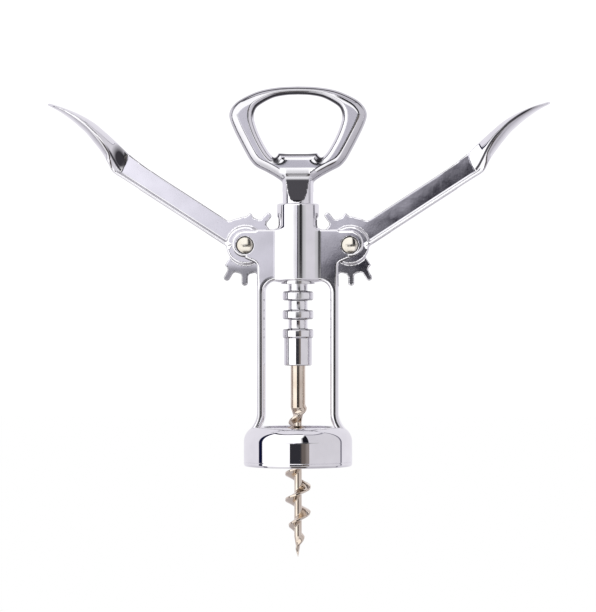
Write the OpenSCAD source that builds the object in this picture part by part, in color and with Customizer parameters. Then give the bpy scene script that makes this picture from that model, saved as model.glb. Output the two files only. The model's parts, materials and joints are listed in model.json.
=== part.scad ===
// Lever corkscrew with two wings. +Z is up along the worm's axis, the wings swing in the XZ plane and
// the front faces -Y. The origin is the middle of the bottle stop, the face that rests on the bottle.
// Right-hand pieces are modelled and the left-hand ones are their mirror images.

/* [Bell] */
// Outside radius of the bell
bell_r = 18.05; // [17:0.05:23]
// Height of the bell from its rim to its top ring
bell_h = 13; // [11:0.5:18]
// Depth of the bottle stop above the rim
stop_depth = 7; // [5:0.5:9]
// Radius inside the skirt, which goes over the bottle's lip
skirt_r = 15.3; // [14:0.1:16]
// Width of the flat stop that rests on the bottle's lip
stop_w = 1.7; // [1:0.1:2.5]
// Radius of the hole in the top ring, where the cork comes through
cork_hole_r = 11.5; // [10:0.1:12]
// Height of the cork hole's straight wall
cork_hole_h = 1.8; // [1:0.1:3]
// Radius of the bell's rounded shoulder
shoulder_r = 5.5; // [4:0.1:6]
// Height of the bead round the bell's rim
rim_bead_h = 1.4; // [1:0.1:2]
// Depth of the fine groove above the bead
rim_groove = 0.2; // [0.1:0.05:0.4]

/* [Frame] */
// Height of the barrel's foot above the bottle stop
barrel_z = 54.8; // [44:0.1:72]
// Length of the barrel
barrel_h = 25.6; // [24:0.1:30]
// Bore of the barrel, radius
bore_r = 5.25; // [4.3:0.05:6.3]
// Wall of the barrel round its bore
barrel_wall = 1.75; // [1.2:0.05:2.5]
// Width of the frame from front to back
frame_w = 8.6; // [8:0.1:12]
// Gap between the front and back ears, where a lever's hub turns
ear_gap = 5.5; // [4.6:0.1:6.4]
// Radius of an ear's rounded end
ear_r = 4.5; // [4:0.1:5.2]
// Height of that round end's centre above the pivot
ear_up = 0.5; // [0:0.1:1]
// Distance from the axis to a leg's outer face
leg_out = 13.5; // [12.6:0.1:15]
// Thickness of a leg
leg_t = 2.65; // [2:0.05:3.2]
// How far a leg's foot bends outwards to the bell's top ring
foot_out = 1.5; // [0.5:0.1:2]
// Height of that bend
foot_h = 4.2; // [3:0.1:6]
// Radius of the window's upper corners
window_r = 3.7; // [2:0.1:5]

/* [Guide bush] */
// Radius outside the bush pressed into the barrel's foot
bush_r = 6; // [5.7:0.05:6.8]
// Length of the bush inside the barrel
bush_h = 2.05; // [1.5:0.05:2.6]
// How far the bush's lip hangs below the barrel
bush_lip_h = 1.2; // [0.6:0.1:2]
// Wall of that lip
bush_lip_t = 0.4; // [0.3:0.05:0.7]

/* [Rack spindle] */
// Distance from one rack ring to the next
ring_pitch = 6.283; // [5.4:0.001:7]
// Height of a rack ring
ring_h = 3.1; // [2.6:0.05:3.3]
// Bevel of a ring's edges
ring_bevel = 0.6; // [0.3:0.05:0.9]
// Number of rack rings
ring_count = 7; // [6:1:8]
// Depth of the gaps between the rings
ring_depth = 1.97; // [1.7:0.01:2.2]
// Running clearance of the rings in the barrel
ring_clear = 0.08; // [0.02:0.01:0.1]
// How far the socket at the spindle's foot stands back from the rings
socket_inset = 0.5; // [0.2:0.05:1]
// Height of the socket
socket_h = 9.1; // [7:0.1:12]
// Bevel of the socket's lower edge
socket_bevel = 0.5; // [0.2:0.1:1]

/* [Levers] */
// Pitch radius of the gear on a lever
gear_pitch_r = 12.5; // [11.5:0.1:14]
// How far the pitch line lies inside the rack rings' outside
pitch_inset = 0.22; // [0.1:0.02:0.6]
// How far a gear tooth reaches past the pitch radius
tooth_out = 0.95; // [0.8:0.05:1.2]
// How far the gaps between teeth go below the pitch radius
tooth_in = 2.9; // [2.4:0.1:3.2]
// Width of a gear tooth
tooth_w = 2.05; // [1.7:0.05:2.2]
// Angle of the meshed tooth below the level of the pivot
tooth_phase = 5; // [3:0.5:7]
// Teeth above and below the meshed one
teeth_above = 2; // [1:1:2]
teeth_below = 4; // [3:1:4]
// Angle of a lever above the horizontal at rest
lever_up = 33; // [25:1:40]
// Length of a lever from its pivot to its tip
lever_len = 82.2; // [70:0.1:98]
// Half height of a lever's arm
arm_half = 3.64; // [3.1:0.02:3.9]
// Height of the bead along the arm's lower edge
arm_bead = 1.1; // [0.8:0.1:1.5]
// Thickness of a lever's hub and beads
hub_t = 5.2; // [4.2:0.1:6.2]
// Thickness of a lever's web and teeth
web_t = 3.5; // [3:0.1:4.2]
// Radius of a lever's hub
hub_r = 6.35; // [5:0.05:7]
// Half width of a lever's paddle, front to back
paddle_half = 7.6; // [6:0.1:9]

/* [Pivot pins] */
// Radius of a pivot pin
pin_r = 1.9; // [1.6:0.05:2.2]
// Radius of a pin's domed heads
pin_head_r = 2.6; // [2.4:0.05:3]
// Depth of the recess that a head sits in
pin_recess = 0.8; // [0.5:0.1:1]
// How far a head's dome stands out of the ear
pin_dome = 0.45; // [0.2:0.05:0.8]
// Running clearance of a lever on its pin
pin_clear = 0.05; // [0.02:0.01:0.1]
// Gap round a pin's head in its recess
pin_head_gap = 0.3; // [0.1:0.05:0.4]

/* [Worm] */
// Outside radius of the worm's thread
worm_r = 4.25; // [3.6:0.05:4.6]
// Radius of the worm's core
worm_core_r = 1.25; // [1:0.01:1.7]
// Rise of the thread in one turn
worm_pitch = 8.67; // [7.3:0.01:10.4]
// Depth of the worm's tip below the bottle stop at rest
tip_depth = 37.2; // [30:0.1:42]
// Height over which the thread narrows to the tip
tip_taper = 14; // [9:0.5:17]
// Height of the thread's upper end above the bottle stop at rest
thread_top = 15.8; // [12:0.1:17]
// Radius of the shank above the thread
shank_r = 2.55; // [2.2:0.05:3]
// Depth of the shank inside the spindle's socket
shank_in = 5.6; // [4:0.1:7]
// Radius of the rod that joins the shank to the handle
rod_r = 1.7; // [1.4:0.05:1.9]
// Running clearance of the shank and rod in the spindle
rod_clear = 0.06; // [0.02:0.01:0.1]

/* [Handle] */
// Running clearance of the handle's neck in the barrel
neck_clear = 0.1; // [0.05:0.01:0.1]
// Height of the neck above the barrel's top at rest
neck_h = 6.4; // [5:0.1:9]
// Height from the neck's top to the ring's top
grip_h = 32.7; // [27:0.1:39]
// Width of the ring
grip_w = 46; // [38:0.5:56]
// Width of the ring's band at its sides
grip_band = 8.3; // [6.5:0.1:10]
// Height of the ring's band at its top
grip_top = 3; // [2.5:0.1:4]
// Thickness of the ring, front to back
grip_t = 6; // [5:0.1:8]
// Half width of the cap lifter's lip at the bottom of the ring's hole
lip_half = 6.4; // [5:0.1:8]

/* [Hidden] */
$fn = 72;
EPS = 0.01;
BIG = 200;
rim_z = -stop_depth;
ring_top_z = bell_h - stop_depth;
barrel_top = barrel_z + barrel_h;
barrel_r = bore_r + barrel_wall;
ring_r = bore_r - ring_clear;
ring_root_r = ring_r - ring_depth;
socket_r = ring_r - socket_inset;
neck_r = bore_r - neck_clear;
pivot_x = ring_r - pitch_inset + gear_pitch_r;
gear_tip_r = gear_pitch_r + tooth_out;
gear_root_r = gear_pitch_r - tooth_in;
// room for the turning gear in the slots of the barrel and legs
slot_r = gear_tip_r + 0.7;
// the slots keep a whole ring of the barrel above them and the bush's ring below them
slot_drop = sqrt(slot_r * slot_r - (pivot_x - barrel_r) * (pivot_x - barrel_r));
pivot_z = barrel_z + bush_h + 0.1 + slot_drop;
ear_top = pivot_z + ear_up + ear_r;
window_top = barrel_z - 0.2;
leg_in = leg_out - leg_t;
DEG = 180 / PI;
tooth_angle = ring_pitch / gear_pitch_r * DEG;
// height of the first rack ring above the pivots, which puts the meshed tooth midway between two rings
ring_phase = ring_pitch / 2 - gear_pitch_r * tooth_phase / DEG;
ring_first_z = pivot_z + ring_phase + ring_pitch;
ring_last_z = ring_first_z - (ring_count - 1) * ring_pitch;
socket_top = ring_last_z - ring_h / 2;
socket_z = socket_top - socket_h;
neck_z = ring_first_z + ring_h / 2 + 3.1;
neck_top = barrel_top + neck_h;
grip_top_z = neck_top + grip_h;
thread_bottom = -tip_depth;

// Catmull-Rom curve through the points p, with n steps from each point to the next
function spline(p, n) = [for (i = [0 : len(p) - 2], j = [0 : n - 1])
    let (a = p[max(i - 1, 0)], b = p[i], c = p[i + 1], d = p[min(i + 2, len(p) - 1)], t = j / n)
    0.5 * ((2 * b) + (c - a) * t + (2 * a - 5 * b + 4 * c - d) * t * t + (3 * b - a - 3 * c + d) * t * t * t)];
function mirrored(p) = [for (i = [len(p) - 1 : -1 : 0]) [-p[i].x, p[i].y]];

// an outline in the XZ plane made t thick about the plane Y = 0
module slab(t) { rotate([90, 0, 0]) linear_extrude(t, center = true) children(); }
// a cylinder along Y of length t about the plane Y = 0
module across(r, t) { rotate([90, 0, 0]) cylinder(r = r, h = t, center = true); }

// ---- bell: a ring with a skirt for the bottle's lip, a stop and a hole for the cork
module bell_profile() {
    groove_z = rim_z + rim_bead_h;
    stop_in = skirt_r - stop_w;
    shoulder_x = bell_r - shoulder_r;
    shoulder_z = ring_top_z - 0.9 * shoulder_r;
    difference() {
        union() {
            translate([0, rim_z]) square([bell_r, shoulder_z - rim_z]);
            translate([0, rim_z]) square([shoulder_x, bell_h]);
            intersection() {
                translate([shoulder_x, shoulder_z]) circle(shoulder_r);
                translate([0, rim_z]) square([bell_r, bell_h]);
            }
        }
        translate([bell_r, groove_z]) circle(rim_groove, $fn = 24);
        polygon([[bell_r - 0.5, rim_z - EPS], [bell_r + EPS, rim_z - EPS], [bell_r + EPS, rim_z + 0.9]]);
        translate([-EPS, rim_z - EPS]) square([skirt_r + EPS, stop_depth + EPS]);
        polygon([[-EPS, -EPS], [stop_in, -EPS], [stop_in, 0.4], [cork_hole_r, ring_top_z - cork_hole_h],
                 [cork_hole_r, ring_top_z + EPS], [-EPS, ring_top_z + EPS]]);
    }
}
module bell() { color("gainsboro") rotate_extrude() bell_profile(); }

// ---- frame: the barrel, the ears that hold the levers and the legs down to the bell
module half_plate() {
    // the plate from the axis out to the ear, cut off below at the window
    ear_z = pivot_z + ear_up;
    lean = atan2(pivot_x + ear_r * 0.86 - leg_out, ear_z - window_top - 6);
    translate([0, window_top]) square([leg_out, ear_top - window_top]);
    translate([pivot_x, ear_z]) circle(ear_r);
    polygon([[leg_out - EPS, window_top + 5.8], [pivot_x + ear_r * cos(lean), ear_z - ear_r * sin(lean)],
             [pivot_x, ear_top], [leg_out - EPS, ear_top]]);
}
module leg_outline() {
    // straight down from the plate, then out to the bell's top ring
    bend_z = ring_top_z + foot_h;
    sink = 1.2;
    bend = spline([[0, bend_z + 2], [0, bend_z], [foot_out * 0.3, bend_z - foot_h * 0.45],
                   [foot_out, ring_top_z], [foot_out + 0.3, ring_top_z - sink]], 6);
    polygon(concat([[leg_in, window_top + EPS]], [for (p = bend) [leg_in + p.x * 0.8, p.y]],
        [for (i = [len(bend) - 1 : -1 : 0]) [leg_out + bend[i].x, bend[i].y]], [[leg_out, window_top + EPS]]));
}
module window_corner() {
    // the fillet between a leg and the window's top
    difference() {
        translate([leg_in - window_r, window_top - window_r]) square([window_r + EPS, window_r + EPS]);
        translate([leg_in - window_r, window_top - window_r]) circle(window_r);
    }
}
module half_frame() {
    difference() {
        slab(frame_w) {
            half_plate();
            leg_outline();
            window_corner();
        }
        // slot for the gear, and the gap between the ears
        translate([pivot_x, 0, pivot_z]) {
            across(slot_r, ear_gap);
            translate([0, -ear_gap / 2, -7.5]) cube([20, ear_gap, 20]);
            across(pin_r, BIG);
            for (s = [-1, 1]) translate([0, s * frame_w / 2, 0])
                across(pin_head_r + pin_head_gap, 2 * pin_recess);
        }
        translate([0, 0, barrel_z - 1]) cylinder(r = bore_r, h = BIG);
    }
}
module frame() {
    color("silver") difference() {
        union() {
            half_frame();
            mirror([1, 0, 0]) half_frame();
            difference() {
                union() {
                    translate([0, 0, barrel_z]) cylinder(r = barrel_r, h = barrel_h - 0.8);
                    translate([0, 0, barrel_top - 0.8])
                        cylinder(r1 = barrel_r, r2 = barrel_r - 0.7, h = 0.8);
                }
                translate([0, 0, barrel_z - 1]) cylinder(r = bore_r, h = BIG);
                for (s = [-1, 1]) translate([s * pivot_x, 0, pivot_z]) across(slot_r, ear_gap);
            }
        }
        // seat for the guide bush, and clearance for what slides below the barrel
        translate([0, 0, barrel_z - 1]) cylinder(r = bush_r, h = 1 + bush_h);
        // the bell's place
        rotate_extrude() bell_profile();
    }
}

// ---- lower_guide_bush: a sleeve in the barrel's foot with a thin lip below it
module lower_guide_bush() {
    color("darkgray") difference() {
        union() {
            translate([0, 0, barrel_z]) cylinder(r = bush_r, h = bush_h);
            translate([0, 0, barrel_z - bush_lip_h]) cylinder(r = bore_r + bush_lip_t, h = bush_lip_h + EPS);
        }
        translate([0, 0, barrel_z - bush_lip_h - 1]) cylinder(r = bore_r, h = BIG);
    }
}

// ---- rack_spindle: round rack rings on a hollow stem, with a socket for the worm's shank
module rack_spindle() {
    stem_top = neck_z - 0.05;
    rings = [for (i = [ring_count - 1 : -1 : 0]) let (z = ring_first_z - i * ring_pitch, h = ring_h / 2)
        each [[ring_root_r, z - h], [ring_r - ring_bevel, z - h], [ring_r, z - h + ring_bevel],
              [ring_r, z + h - ring_bevel], [ring_r - ring_bevel, z + h], [ring_root_r, z + h]]];
    color("gainsboro") difference() {
        rotate_extrude() polygon(concat(
            [[0, socket_z], [socket_r - socket_bevel, socket_z], [socket_r, socket_z + socket_bevel],
             [socket_r, socket_top]], rings, [[ring_root_r, stem_top], [0, stem_top]]));
        translate([0, 0, socket_z - 1]) cylinder(r = shank_r + rod_clear, h = 1 + shank_in + 0.1);
        translate([0, 0, socket_z]) cylinder(r = rod_r + rod_clear, h = BIG);
    }
}

// ---- handle: a neck that runs in the barrel and a flat ring with a cap lifter in its hole
module grip_outline() {
    w = grip_w / 2;
    h = grip_h;
    side = spline([[neck_r, 0], [neck_r * 1.3, 0.07 * h], [0.52 * w, 0.15 * h], [0.69 * w, 0.22 * h],
                   [0.78 * w, 0.32 * h], [0.9 * w, 0.5 * h], [0.985 * w, 0.64 * h], [w, 0.72 * h],
                   [0.95 * w, 0.81 * h], [0.83 * w, 0.88 * h], [0.56 * w, 0.96 * h], [0, h]], 6);
    translate([0, neck_top]) polygon(concat(side, [[0, h]], mirrored(side)));
}
module grip_hole() {
    w = grip_w / 2 - grip_band;
    h = grip_h;
    lip_z = 0.31 * h;
    side = spline([[lip_half, lip_z], [lip_half + 0.5, lip_z - 1], [lip_half + 1.7, lip_z - 1.1],
                   [lip_half + 2.9, lip_z + 0.1], [0.69 * w, lip_z + 1.2], [0.86 * w, 0.46 * h], [0.97 * w, 0.6 * h],
                   [w, 0.71 * h], [0.9 * w, 0.81 * h], [0.5 * w, h - grip_top - 0.9],
                   [0, h - grip_top]], 5);
    translate([0, neck_top]) polygon(concat(side, [[0, h - grip_top]], mirrored(side)));
}
module handle() {
    scoop_r = 16;
    scoop_z = neck_top + 2.2;
    color("silver") {
        difference() {
            union() {
                slab(grip_t) difference() {
                    grip_outline();
                    grip_hole();
                }
                difference() {
                    translate([0, 0, neck_z]) cylinder(r = neck_r, h = scoop_z + 3 - neck_z);
                    for (s = [-1, 1]) translate([0, s * (grip_t / 2 + scoop_r), scoop_z])
                        rotate([0, 90, 0]) cylinder(r = scoop_r, h = BIG, center = true);
                }
            }
            translate([0, 0, neck_z - 1]) cylinder(r = rod_r, h = 1 + neck_top - neck_z);
        }
    }
}

// ---- worm: a right-hand thread round a tapered core, under a shank and the rod into the handle
// how far the thread stands out at height z, between 0 and 1
function thread_size(z) = min(1, pow(max(z - thread_bottom, 0) / tip_taper, 1.2),
                              pow(max(thread_top - z, 0) / 13, 0.9));
// radius of the core, which narrows to the tip and widens into the shank
function core_size(z) = worm_core_r * min(1, 0.12 + 2 * (z - thread_bottom) / tip_taper)
    + (0.97 * shank_r - worm_core_r) * max(0, 1 - (thread_top - z) / 8);
// the thread's section, from its crest at 0 to its foot at 1: a blunt crest and hollow flanks
function flank(x) = x < 0.15 ? 1 : x > 1 ? 0 : pow((1 - x) / 0.85, 1.3);
module worm_thread() {
    steps = 18;
    foot = 1.6;
    // the thread passes the right-hand side at this height
    right_z = -14.03;
    rise = worm_pitch / steps;
    count = ceil((thread_top - thread_bottom) / rise);
    points = [for (i = [0 : count], j = [0 : steps - 1])
        let (z = min(thread_bottom + i * rise, thread_top + 0.2), a = j * 360 / steps,
             from_crest = (z - right_z) / worm_pitch - j / steps,
             x = abs(from_crest - round(from_crest)) * worm_pitch / foot,
             r = core_size(z) + (worm_r - core_size(z)) * thread_size(z) * flank(x))
            [r * cos(a), r * sin(a), z]];
    sides = [for (i = [0 : count - 1], j = [0 : steps - 1])
        let (a = i * steps + j, b = i * steps + (j + 1) % steps) each [[a, b + steps, b], [a, a + steps, b + steps]]];
    polyhedron(points, concat(sides, [[for (j = [0 : steps - 1]) j],
                                      [for (j = [steps - 1 : -1 : 0]) count * steps + j]]));
}
module worm() {
    shank_top = socket_z + shank_in;
    rod_top = neck_top - 0.2;
    color("tan") {
        worm_thread();
        translate([0, 0, thread_top]) cylinder(r = shank_r, h = shank_top - thread_top);
        translate([0, 0, shank_top - EPS]) cylinder(r = rod_r, h = rod_top - shank_top);
    }
}

// ---- levers: a gear sector, an arm with a bead below and a thumb paddle
// The outlines run along the arm from the pivot, with the arm's upper side upwards.
function arm_top(k) = [[0, arm_half], [0.46 * k, arm_half], [0.55 * k, arm_half + 0.5], [0.61 * k, arm_half + 0.8],
    [0.67 * k, arm_half + 1.7], [0.73 * k, arm_half + 2.7], [0.79 * k, arm_half + 3.3],
    [0.85 * k, arm_half + 3.3], [0.91 * k, arm_half + 2.5], [k, arm_half + 0.5]];
function arm_bottom(k) = [[k, arm_half + 0.2], [0.97 * k, arm_half + 0.1], [0.93 * k, arm_half + 0.4],
    [0.88 * k, arm_half + 0.2], [0.83 * k, arm_half - 0.5], [0.78 * k, arm_half - 1.4],
    [0.69 * k, -0.4], [0.655 * k, 0.7 - arm_half], [0.62 * k, 0.4 - arm_half], [0.57 * k, -arm_half],
    [0.5 * k, -arm_half], [0, -arm_half]];
module lever_outline() { polygon(concat(spline(arm_top(lever_len), 5), spline(arm_bottom(lever_len), 5))); }
module paddle_plan() {
    w = paddle_half;
    k = lever_len;
    edge = spline([[0.585 * k, 0.34 * w], [0.62 * k, 0.48 * w], [0.67 * k, 0.78 * w], [0.74 * k, 0.97 * w],
                   [0.82 * k, w], [0.9 * k, 0.86 * w], [0.96 * k, 0.58 * w], [0.99 * k, 0.28 * w], [k, 0]], 5);
    polygon(concat(edge, [[k, 0]], [for (i = [len(edge) - 1 : -1 : 0]) [edge[i].x, -edge[i].y]]));
}
module tooth(angle, tip) {
    rotate(angle) {
        square_len = tip - tooth_w / 2;
        translate([0, -tooth_w / 2]) square([square_len, tooth_w]);
        translate([square_len, 0]) circle(tooth_w / 2);
    }
}
module gear_sector() {
    // angles are measured from the arm; the spindle lies at 180 - lever_up
    meshed = 180 - lever_up + tooth_phase;
    difference() {
        circle(gear_root_r);
        translate([2, -BIG / 2]) square([BIG, BIG / 2]);
    }
    for (i = [-teeth_above : teeth_below]) tooth(meshed + i * tooth_angle, gear_tip_r);
    tooth(meshed - (teeth_above + 1) * tooth_angle, gear_root_r + 1.3);
}
module lever() {
    difference() {
        union() {
            slab(web_t) {
                intersection() {
                    lever_outline();
                    translate([0, -BIG / 2]) square([0.7 * lever_len, BIG]);
                }
                gear_sector();
            }
            across(hub_r, hub_t);
            // bead along the arm's lower edge
            intersection() {
                slab(hub_t) difference() {
                    lever_outline();
                    translate([hub_r, arm_bead - arm_half])
                        square([0.6 * lever_len - hub_r, BIG]);
                }
                translate([0, -BIG / 2, -BIG / 2]) cube([0.66 * lever_len, BIG, BIG]);
            }
            // the paddle, wide from front to back
            intersection() {
                slab(BIG) lever_outline();
                linear_extrude(BIG, center = true) paddle_plan();
            }
        }
        across(pin_r + pin_clear, BIG);
    }
}
module right_lever() {
    color("silver") translate([pivot_x, 0, pivot_z]) rotate([0, -lever_up, 0]) lever();
}
module left_lever() {
    color("silver") mirror([1, 0, 0]) translate([pivot_x, 0, pivot_z]) rotate([0, -lever_up, 0]) lever();
}

// ---- pivot pins: a round pin with a domed head at each end, sunk in the ears
module pin_head() {
    // a dome of height pin_dome on a disc that fills the recess
    dome_r = (pin_head_r * pin_head_r + pin_dome * pin_dome) / (2 * pin_dome);
    rotate_extrude() {
        square([pin_head_r, pin_recess]);
        intersection() {
            translate([0, pin_recess + pin_dome - dome_r]) circle(dome_r, $fn = 180);
            translate([0, pin_recess - EPS]) square([pin_head_r, pin_dome + 1]);
        }
    }
}
module pivot_pin() {
    seat_y = frame_w / 2 - pin_recess;
    across(pin_r, 2 * seat_y);
    for (s = [-1, 1]) translate([0, s * seat_y, 0]) rotate([-90 * s, 0, 0]) pin_head();
}
module right_pivot_pin() { color("palegoldenrod") translate([pivot_x, 0, pivot_z]) pivot_pin(); }
module left_pivot_pin() { color("palegoldenrod") translate([-pivot_x, 0, pivot_z]) pivot_pin(); }

frame();
bell();
lower_guide_bush();
rack_spindle();
handle();
worm();
left_lever();
right_lever();
left_pivot_pin();
right_pivot_pin();
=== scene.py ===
"""Lever corkscrew: the visible pieces, their plated finishes and a plain studio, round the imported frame."""
import json
import math

import bpy
import numpy as np
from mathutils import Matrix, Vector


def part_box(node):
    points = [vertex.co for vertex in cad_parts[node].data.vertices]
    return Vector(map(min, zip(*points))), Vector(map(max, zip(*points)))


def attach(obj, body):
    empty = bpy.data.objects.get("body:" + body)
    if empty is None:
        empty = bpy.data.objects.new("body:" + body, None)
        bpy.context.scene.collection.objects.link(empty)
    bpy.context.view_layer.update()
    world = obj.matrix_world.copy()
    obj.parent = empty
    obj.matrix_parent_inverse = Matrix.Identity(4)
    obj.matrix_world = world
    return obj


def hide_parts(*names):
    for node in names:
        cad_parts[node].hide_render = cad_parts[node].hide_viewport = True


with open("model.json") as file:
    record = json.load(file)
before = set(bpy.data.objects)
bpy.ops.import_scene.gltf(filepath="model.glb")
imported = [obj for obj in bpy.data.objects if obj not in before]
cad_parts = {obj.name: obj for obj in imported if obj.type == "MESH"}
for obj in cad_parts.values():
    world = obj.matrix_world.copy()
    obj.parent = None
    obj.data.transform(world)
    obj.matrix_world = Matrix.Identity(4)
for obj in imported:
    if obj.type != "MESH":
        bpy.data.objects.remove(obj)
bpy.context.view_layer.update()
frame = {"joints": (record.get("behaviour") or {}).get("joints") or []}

# ---------------------------------------------------------------- sizes, in millimetres
MM = 0.001
JOINTS = {joint["name"]: joint for joint in frame["joints"]}


def low_high(node):
    """A CAD node's lowest and highest corners in millimetres."""
    low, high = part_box(node)
    return np.array(low) / MM, np.array(high) / MM


PIVOT_X = JOINTS["right_lever_pivot"]["pos_m"][0] / MM
PIVOT_Z = JOINTS["right_lever_pivot"]["pos_m"][2] / MM
BELL_LOW, BELL_HIGH = low_high("bell")
RACK_LOW, RACK_HIGH = low_high("rack_spindle")
HANDLE_LOW = low_high("handle")[0]
WORM_LOW, WORM_HIGH = low_high("worm")
BUSH_LOW, BUSH_HIGH = low_high("lower_guide_bush")

# barrel and pins
BARREL_R = 7.0
BARREL_LEN = 25.6
BARREL_TOP = low_high("frame")[1][2]
BARREL_FOOT = BARREL_TOP - BARREL_LEN
BORE_R = 5.25
PIN_R = 1.9
PIN_HEAD_R = 2.6
PIN_SINK = 0.8
PIN_DOME = 0.45
FRAME_HALF = low_high("right_pivot_pin")[1][1] - PIN_DOME

# ears, legs and the window between them
EAR_GAP = 5.5
EAR_R = 4.5
EAR_Z = PIVOT_Z + 0.5
UNDER_EAR_Z = PIVOT_Z - 6.1
UNDER_EAR_LEAN = math.radians(23.2)
LEG_OUT = 13.5
LEG_T = 2.65
FOOT_RISE = 4.6
FOOT_BEND = 1.7
WINDOW_TOP = BARREL_FOOT - 0.2
WINDOW_R = 3.7
SLOT_R = 14.15

# levers, along the arm from the pivot
LEVER_UP = math.radians(33.0)
LEVER_LEN = 81.4
GEAR_PITCH_R = 12.5
GEAR_TIP_R = 13.45
GEAR_ROOT_R = 9.6
TOOTH_STEP = math.radians(28.8)
TOOTH_W = 2.05
MESH_TURN = math.radians(5.0)
HUB_R = 6.35
WEB_HALF = 1.75
BEAD_HALF = 2.6
BEAD_H = 0.6
PADDLE_FROM = 45.0

# rack and worm
RING_PITCH = GEAR_PITCH_R * TOOTH_STEP
RING_COUNT = 7
RING_R = 5.17
STEM_R = 3.2
SOCKET_R = 4.67
RING_AT_GEAR = PIVOT_Z + GEAR_PITCH_R * (0.5 * TOOTH_STEP - MESH_TURN)
SHANK_R = 2.48
WORM_R = 4.25
WORM_CORE_R = 1.25
WORM_PITCH = 8.67
THREAD_TOP = 15.8
CREST_Z = -14.03

# handle
NECK_R = 5.13
NECK_TOP = BARREL_TOP + 6.4
SCOOP_FOOT = NECK_TOP - 6.1
GRIP_HALF = 3.0
GRIP_ROUND = 3.2
HOLE_ROUND = 2.1

# how far the viewer stands round to the right-hand side, in degrees
VIEW_TURN = 3.0


# ---------------------------------------------------------------- shape tools
def curve(points, steps):
    """A Catmull-Rom curve through the points, with the given number of steps from each to the next."""
    p = np.array(points, float)
    p = np.vstack([2 * p[0] - p[1], p, 2 * p[-1] - p[-2]])
    a, b, c, d = (p[i:len(p) - 3 + i, None, :] for i in range(4))
    t = (np.arange(steps) / steps)[None, :, None]
    square, cube = 2 * a - 5 * b + 4 * c - d, 3 * b - a - 3 * c + d
    run = 0.5 * (2 * b + (c - a) * t + square * t ** 2 + cube * t ** 3)
    return np.vstack([run.reshape(-1, p.shape[1]), p[-2]])


def unit_rows(vectors, least=1e-9):
    """The vectors in the rows, each divided by its length."""
    return vectors / np.maximum(np.linalg.norm(vectors, axis=1), least)[:, None]


def add_mesh(name, points_mm, faces, normals, painted_shade=None):
    """A smooth-shaded mesh object at the origin from points in millimetres and faces as rows of indices.
    The optional last argument gives the painted shade on each point, from 0 in the open to 1 deep in a
    corner."""
    mesh = bpy.data.meshes.new(name)
    rows = faces if isinstance(faces, list) else faces.tolist()
    mesh.from_pydata((np.asarray(points_mm) * MM).tolist(), [], rows)
    mesh.update()
    mesh.shade_smooth()
    mesh.normals_split_custom_set_from_vertices(normals.tolist())
    # painted shade per point, which the materials turn into darker colour in corners
    shade = mesh.attributes.new("painted_shade", "FLOAT", "POINT")
    shade.data.foreach_set("value", np.zeros(len(mesh.vertices)) if painted_shade is None else painted_shade)
    piece = bpy.data.objects.new(name, mesh)
    bpy.context.scene.collection.objects.link(piece)
    return piece


def grid_faces(rows, columns):
    """Quads of a grid that closes on itself across its columns."""
    i, j = np.meshgrid(np.arange(rows - 1), np.arange(columns), indexing="ij")
    a, b = i * columns + j, i * columns + (j + 1) % columns
    return np.stack([a, b, b + columns, a + columns], -1).reshape(-1, 4)


def turned(name, profile, steps, along="Z", at=(0.0, 0.0, 0.0), edge=0.0):
    """A closed turning. Each point (r, h) of the closed profile, listed anticlockwise in the plane of radius
    and height, becomes the ring (r cos a, r sin a, h). edge is the painted shade given to what faces up or
    down."""
    p = np.array(profile, float)
    a = 2 * np.pi * np.arange(steps) / steps
    run = np.roll(p, -1, 0) - np.roll(p, 1, 0)
    n = unit_rows(np.stack([run[:, 1], -run[:, 0]], -1))

    def spun(q):
        """Rows (r, h) carried round the axis, as rows of (x, y, z)."""
        return np.stack([np.outer(q[:, 0], np.cos(a)), np.outer(q[:, 0], np.sin(a)),
                         np.repeat(q[:, 1:2], steps, 1)], -1).reshape(-1, 3)

    points, normals = spun(p), spun(n)
    if along == "Y":
        points, normals = points[:, [1, 2, 0]], normals[:, [1, 2, 0]]
    first = np.arange(steps)
    last = (len(p) - 1) * steps + first
    closing = np.stack([last, np.roll(last, -1), np.roll(first, -1), first], -1)
    faces = np.vstack([grid_faces(len(p), steps), closing])
    # painted shade on the faces that face up or down
    shade = np.repeat(edge * np.clip((np.abs(n[:, 1]) - 0.3) / 0.4, 0, 1), steps)
    return add_mesh(name, points + np.array(at), faces, normals, shade)


def rounded(corners, steps):
    """A closed profile from corners (x, y, radius), each replaced by an arc of that radius in so many steps.
    An arc that would take up half of a side or more gets a smaller radius."""
    out = []
    count = len(corners)
    for i in range(count):
        here, r = np.array(corners[i][:2], float), corners[i][2]
        back = np.array(corners[i - 1][:2], float) - here
        on = np.array(corners[(i + 1) % count][:2], float) - here
        back_len, on_len = np.linalg.norm(back), np.linalg.norm(on)
        back, on = back / back_len, on / on_len
        half = 0.5 * math.acos(float(np.clip(back @ on, -1, 1)))
        if r <= 0 or half > 1.55:
            out.append(here)
            continue
        reach = min(r / max(math.tan(half), 1e-6), 0.48 * back_len, 0.48 * on_len)
        real = reach * math.tan(half)
        centre = here + (back + on) / np.linalg.norm(back + on) * real / math.sin(half)
        start, end = here + back * reach - centre, here + on * reach - centre
        turn = math.atan2(start[0] * end[1] - start[1] * end[0], start @ end)
        for k in range(steps + 1):
            c, s = math.cos(turn * k / steps), math.sin(turn * k / steps)
            out.append(centre + [start[0] * c - start[1] * s, start[0] * s + start[1] * c])
    return np.array(out)


def ease(value, start, over):
    """(value - start) / over, kept from 0 to 1: a straight rise, or a fall where over is negative."""
    return np.clip((value - start) / over, 0, 1)


def hump(value, middle, width, power=2):
    """A smooth hump, e to the power of -((value - middle) / width) ** power: 1 at the middle."""
    return np.exp(-((value - middle) / width) ** power)


def corner(a, b):
    """Distance to the corner in which both fields are negative."""
    return np.minimum(np.maximum(a, b), 0) + np.hypot(np.maximum(a, 0), np.maximum(b, 0))


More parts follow.
